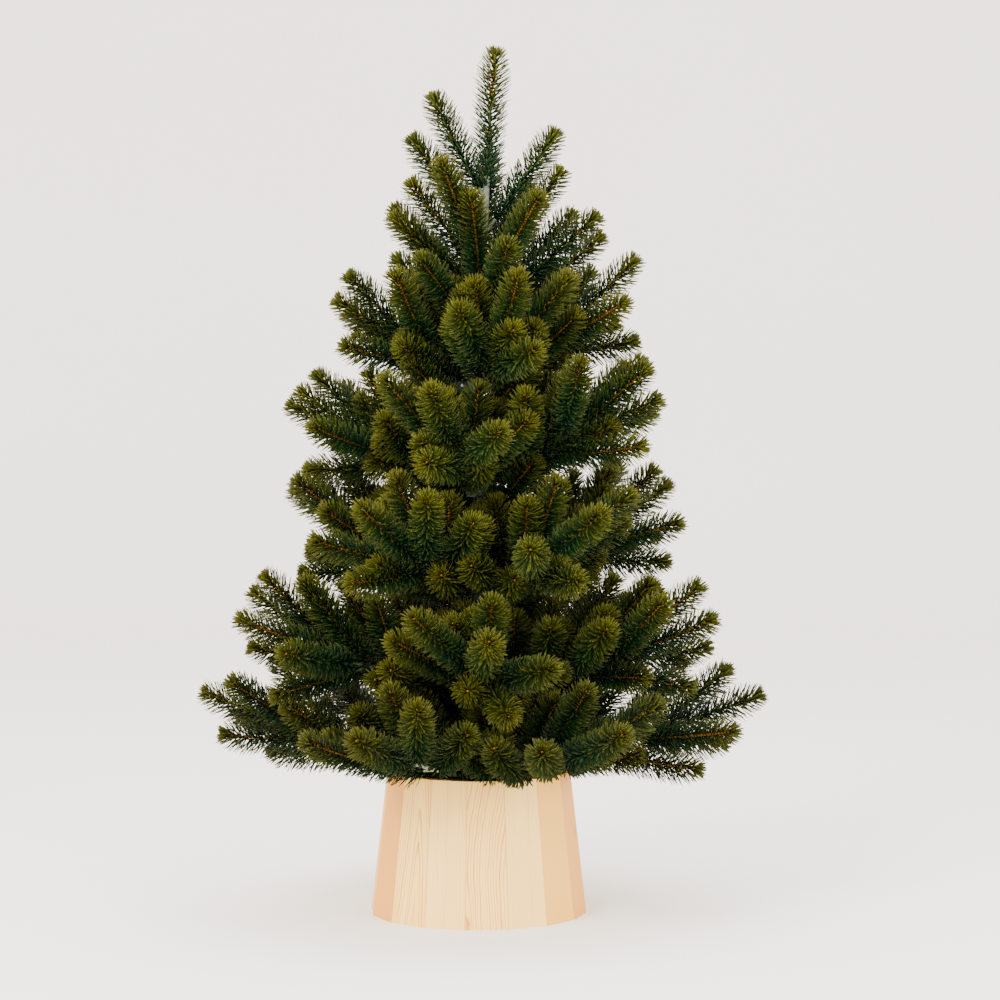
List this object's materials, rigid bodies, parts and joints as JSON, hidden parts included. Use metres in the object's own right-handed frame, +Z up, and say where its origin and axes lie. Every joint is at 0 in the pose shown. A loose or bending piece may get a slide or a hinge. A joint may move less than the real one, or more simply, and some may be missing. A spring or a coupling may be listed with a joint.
{
  "type": "artificial tabletop tree",
  "caption": "Small artificial fir tree with hinged tiers of moulded sprigs on a clamped pole, standing in a tapered collar of pine staves.",
  "frame": {"origin": "on the floor, on the axis of the pole, at the centre of the wooden collar", "axes": "+Z up along the pole; the front of the tree faces -Y, +X is to its right"},
  "size_m": [0.5853, 0.4975, 0.8929],
  "materials": {
    "pine_staves": "satin sanded pine, clear finish",
    "stand_steel": "satin black powder coat",
    "fixings": "zinc plated",
    "pole_paint": "matt grey-green",
    "hub_paint": "matt dark green",
    "taped_wire": "matt grey-green floral tape over steel wire",
    "needles": "moulded polyethylene needles, dark blue-green to olive"
  },
  "bodies": {
    "base": {"collar_staves": "pine_staves", "stand_spider": "stand_steel", "spider_screws": "fixings"},
    "tree_pole": {"pole_tube": "pole_paint", "pole_rod": "pole_paint", "hub_1": "hub_paint", "hub_2": "hub_paint", "hub_3": "hub_paint", "hub_4": "hub_paint", "hub_5": "hub_paint", "hinge_pins": "fixings", "crown_stems": "taped_wire", "crown_sprigs": "needles"},
    "clamp_screw": {"clamp_screw": "fixings"},
    "tier_1_branch_a": {"tier_1_branch_a_stem": "taped_wire", "tier_1_branch_a_sprigs": "needles"},
    "tier_1_branch_b": {"tier_1_branch_b_stem": "taped_wire", "tier_1_branch_b_sprigs": "needles"},
    "tier_1_branch_c": {"tier_1_branch_c_stem": "taped_wire", "tier_1_branch_c_sprigs": "needles"},
    "tier_1_branch_d": {"tier_1_branch_d_stem": "taped_wire", "tier_1_branch_d_sprigs": "needles"},
    "tier_1_branch_e": {"tier_1_branch_e_stem": "taped_wire", "tier_1_branch_e_sprigs": "needles"},
    "tier_1_branch_f": {"tier_1_branch_f_stem": "taped_wire", "tier_1_branch_f_sprigs": "needles"},
    "tier_2_branch_a": {"tier_2_branch_a_stem": "taped_wire", "tier_2_branch_a_sprigs": "needles"},
    "tier_2_branch_b": {"tier_2_branch_b_stem": "taped_wire", "tier_2_branch_b_sprigs": "needles"},
    "tier_2_branch_c": {"tier_2_branch_c_stem": "taped_wire", "tier_2_branch_c_sprigs": "needles"},
    "tier_2_branch_d": {"tier_2_branch_d_stem": "taped_wire", "tier_2_branch_d_sprigs": "needles"},
    "tier_2_branch_e": {"tier_2_branch_e_stem": "taped_wire", "tier_2_branch_e_sprigs": "needles"},
    "tier_3_branch_a": {"tier_3_branch_a_stem": "taped_wire", "tier_3_branch_a_sprigs": "needles"},
    "tier_3_branch_b": {"tier_3_branch_b_stem": "taped_wire", "tier_3_branch_b_sprigs": "needles"},
    "tier_3_branch_c": {"tier_3_branch_c_stem": "taped_wire", "tier_3_branch_c_sprigs": "needles"},
    "tier_3_branch_d": {"tier_3_branch_d_stem": "taped_wire", "tier_3_branch_d_sprigs": "needles"},
    "tier_3_branch_e": {"tier_3_branch_e_stem": "taped_wire", "tier_3_branch_e_sprigs": "needles"},
    "tier_4_branch_a": {"tier_4_branch_a_stem": "taped_wire", "tier_4_branch_a_sprigs": "needles"},
    "tier_4_branch_b": {"tier_4_branch_b_stem": "taped_wire", "tier_4_branch_b_sprigs": "needles"},
    "tier_4_branch_c": {"tier_4_branch_c_stem": "taped_wire", "tier_4_branch_c_sprigs": "needles"},
    "tier_4_branch_d": {"tier_4_branch_d_stem": "taped_wire", "tier_4_branch_d_sprigs": "needles"},
    "tier_5_branch_a": {"tier_5_branch_a_stem": "taped_wire", "tier_5_branch_a_sprigs": "needles"},
    "tier_5_branch_b": {"tier_5_branch_b_stem": "taped_wire", "tier_5_branch_b_sprigs": "needles"},
    "tier_5_branch_c": {"tier_5_branch_c_stem": "taped_wire", "tier_5_branch_c_sprigs": "needles"}
  },
  "joints": [
    {"name": "pole_lift", "type": "slide", "parent": "base", "child": "tree_pole", "axis": [0, 0, 1], "range_m": [0, 0.12]},
    {"name": "clamp_screw_travel", "type": "slide", "parent": "base", "child": "clamp_screw", "axis": [0.7632, -0.6461, 0], "range_m": [0, 0.008]},
    {"name": "tier_1_branch_a_fold", "type": "hinge", "parent": "tree_pole", "child": "tier_1_branch_a", "pos_m": [-0.01899, -0.00066, 0.14], "axis": [-0.0349, 0.9994, 0], "range_deg": [0, 22]},
    {"name": "tier_1_branch_b_fold", "type": "hinge", "parent": "tree_pole", "child": "tier_1_branch_b", "pos_m": [-0.00833, -0.01708, 0.14], "axis": [-0.8988, 0.4384, 0], "range_deg": [0, 22]},
    {"name": "tier_1_branch_c_fold", "type": "hinge", "parent": "tree_pole", "child": "tier_1_branch_c", "pos_m": [0.01007, -0.01611, 0.14], "axis": [-0.848, -0.5299, 0], "range_deg": [0, 22]},
    {"name": "tier_1_branch_d_fold", "type": "hinge", "parent": "tree_pole", "child": "tier_1_branch_d", "pos_m": [0.01899, 0.00066, 0.14], "axis": [0.0349, -0.9994, 0], "range_deg": [0, 22]},
    {"name": "tier_1_branch_e_fold", "type": "hinge", "parent": "tree_pole", "child": "tier_1_branch_e", "pos_m": [0.00892, 0.01678, 0.14], "axis": [0.8829, -0.4695, 0], "range_deg": [0, 22]},
    {"name": "tier_1_branch_f_fold", "type": "hinge", "parent": "tree_pole", "child": "tier_1_branch_f", "pos_m": [-0.01007, 0.01611, 0.14], "axis": [0.848, 0.5299, 0], "range_deg": [0, 22]},
    {"name": "tier_2_branch_a_fold", "type": "hinge", "parent": "tree_pole", "child": "tier_2_branch_a", "pos_m": [-0.01785, -0.0065, 0.225], "axis": [-0.342, 0.9397, 0], "range_deg": [0, 26]},
    {"name": "tier_2_branch_b_fold", "type": "hinge", "parent": "tree_pole", "child": "tier_2_branch_b", "pos_m": [0.00066, -0.01899, 0.225], "axis": [-0.9994, -0.0349, 0], "range_deg": [0, 26]},
    {"name": "tier_2_branch_c_fold", "type": "hinge", "parent": "tree_pole", "child": "tier_2_branch_c", "pos_m": [0.01785, -0.0065, 0.225], "axis": [-0.342, -0.9397, 0], "range_deg": [0, 26]},
    {"name": "tier_2_branch_d_fold", "type": "hinge", "parent": "tree_pole", "child": "tier_2_branch_d", "pos_m": [0.01271, 0.01412, 0.225], "axis": [0.7431, -0.6691, 0], "range_deg": [0, 26]},
    {"name": "tier_2_branch_e_fold", "type": "hinge", "parent": "tree_pole", "child": "tier_2_branch_e", "pos_m": [-0.01063, 0.01575, 0.225], "axis": [0.829, 0.5592, 0], "range_deg": [0, 26]},
    {"name": "tier_3_branch_a_fold", "type": "hinge", "parent": "tree_pole", "child": "tier_3_branch_a", "pos_m": [-0.01807, 0.00587, 0.33], "axis": [0.309, 0.9511, 0], "range_deg": [0, 25]},
    {"name": "tier_3_branch_b_fold", "type": "hinge", "parent": "tree_pole", "child": "tier_3_branch_b", "pos_m": [-0.01063, -0.01575, 0.33], "axis": [-0.829, 0.5592, 0], "range_deg": [0, 25]},
    {"name": "tier_3_branch_c_fold", "type": "hinge", "parent": "tree_pole", "child": "tier_3_branch_c", "pos_m": [0.0117, -0.01497, 0.33], "axis": [-0.788, -0.6157, 0], "range_deg": [0, 25]},
    {"name": "tier_3_branch_d_fold", "type": "hinge", "parent": "tree_pole", "child": "tier_3_branch_d", "pos_m": [0.01785, 0.0065, 0.33], "axis": [0.342, -0.9397, 0], "range_deg": [0, 25]},
    {"name": "tier_3_branch_e_fold", "type": "hinge", "parent": "tree_pole", "child": "tier_3_branch_e", "pos_m": [0.00066, 0.01899, 0.33], "axis": [0.9994, -0.0349, 0], "range_deg": [0, 25]},
    {"name": "tier_4_branch_a_fold", "type": "hinge", "parent": "tree_pole", "child": "tier_4_branch_a", "pos_m": [-0.01895, 0.00133, 0.44], "axis": [0.0698, 0.9976, 0], "range_deg": [0, 22]},
    {"name": "tier_4_branch_b_fold", "type": "hinge", "parent": "tree_pole", "child": "tier_4_branch_b", "pos_m": [-0.00524, -0.01826, 0.44], "axis": [-0.9613, 0.2756, 0], "range_deg": [0, 22]},
    {"name": "tier_4_branch_c_fold", "type": "hinge", "parent": "tree_pole", "child": "tier_4_branch_c", "pos_m": [0.01736, -0.00773, 0.44], "axis": [-0.4067, -0.9135, 0], "range_deg": [0, 22]},
    {"name": "tier_4_branch_d_fold", "type": "hinge", "parent": "tree_pole", "child": "tier_4_branch_d", "pos_m": [0.00587, 0.01807, 0.44], "axis": [0.9511, -0.309, 0], "range_deg": [0, 22]},
    {"name": "tier_5_branch_a_fold", "type": "hinge", "parent": "tree_pole", "child": "tier_5_branch_a", "pos_m": [-0.01826, -0.00524, 0.548], "axis": [-0.2756, 0.9613, 0], "range_deg": [0, 12]},
    {"name": "tier_5_branch_b_fold", "type": "hinge", "parent": "tree_pole", "child": "tier_5_branch_b", "pos_m": [0.0065, -0.01785, 0.548], "axis": [-0.9397, -0.342, 0], "range_deg": [0, 12]},
    {"name": "tier_5_branch_c_fold", "type": "hinge", "parent": "tree_pole", "child": "tier_5_branch_c", "pos_m": [0.01881, 0.00264, 0.548], "axis": [0.1392, -0.9903, 0], "range_deg": [0, 12]}
  ],
  "couplings": [
    {"joint": "tier_1_branch_a_fold", "follows": "tier_1_branch_d_fold", "ratio": 1},
    {"joint": "tier_1_branch_b_fold", "follows": "tier_1_branch_d_fold", "ratio": 1},
    {"joint": "tier_1_branch_c_fold", "follows": "tier_1_branch_d_fold", "ratio": 1},
    {"joint": "tier_1_branch_e_fold", "follows": "tier_1_branch_d_fold", "ratio": 1},
    {"joint": "tier_1_branch_f_fold", "follows": "tier_1_branch_d_fold", "ratio": 1},
    {"joint": "tier_2_branch_a_fold", "follows": "tier_1_branch_d_fold", "ratio": 1.1818},
    {"joint": "tier_2_branch_b_fold", "follows": "tier_1_branch_d_fold", "ratio": 1.1818},
    {"joint": "tier_2_branch_c_fold", "follows": "tier_1_branch_d_fold", "ratio": 1.1818},
    {"joint": "tier_2_branch_d_fold", "follows": "tier_1_branch_d_fold", "ratio": 1.1818},
    {"joint": "tier_2_branch_e_fold", "follows": "tier_1_branch_d_fold", "ratio": 1.1818},
    {"joint": "tier_3_branch_a_fold", "follows": "tier_1_branch_d_fold", "ratio": 1.1364},
    {"joint": "tier_3_branch_b_fold", "follows": "tier_1_branch_d_fold", "ratio": 1.1364},
    {"joint": "tier_3_branch_c_fold", "follows": "tier_1_branch_d_fold", "ratio": 1.1364},
    {"joint": "tier_3_branch_d_fold", "follows": "tier_1_branch_d_fold", "ratio": 1.1364},
    {"joint": "tier_3_branch_e_fold", "follows": "tier_1_branch_d_fold", "ratio": 1.1364},
    {"joint": "tier_4_branch_a_fold", "follows": "tier_1_branch_d_fold", "ratio": 1},
    {"joint": "tier_4_branch_b_fold", "follows": "tier_1_branch_d_fold", "ratio": 1},
    {"joint": "tier_4_branch_c_fold", "follows": "tier_1_branch_d_fold", "ratio": 1},
    {"joint": "tier_4_branch_d_fold", "follows": "tier_1_branch_d_fold", "ratio": 1},
    {"joint": "tier_5_branch_a_fold", "follows": "tier_1_branch_d_fold", "ratio": 0.54545},
    {"joint": "tier_5_branch_b_fold", "follows": "tier_1_branch_d_fold", "ratio": 0.54545},
    {"joint": "tier_5_branch_c_fold", "follows": "tier_1_branch_d_fold", "ratio": 0.54545}
  ]
}
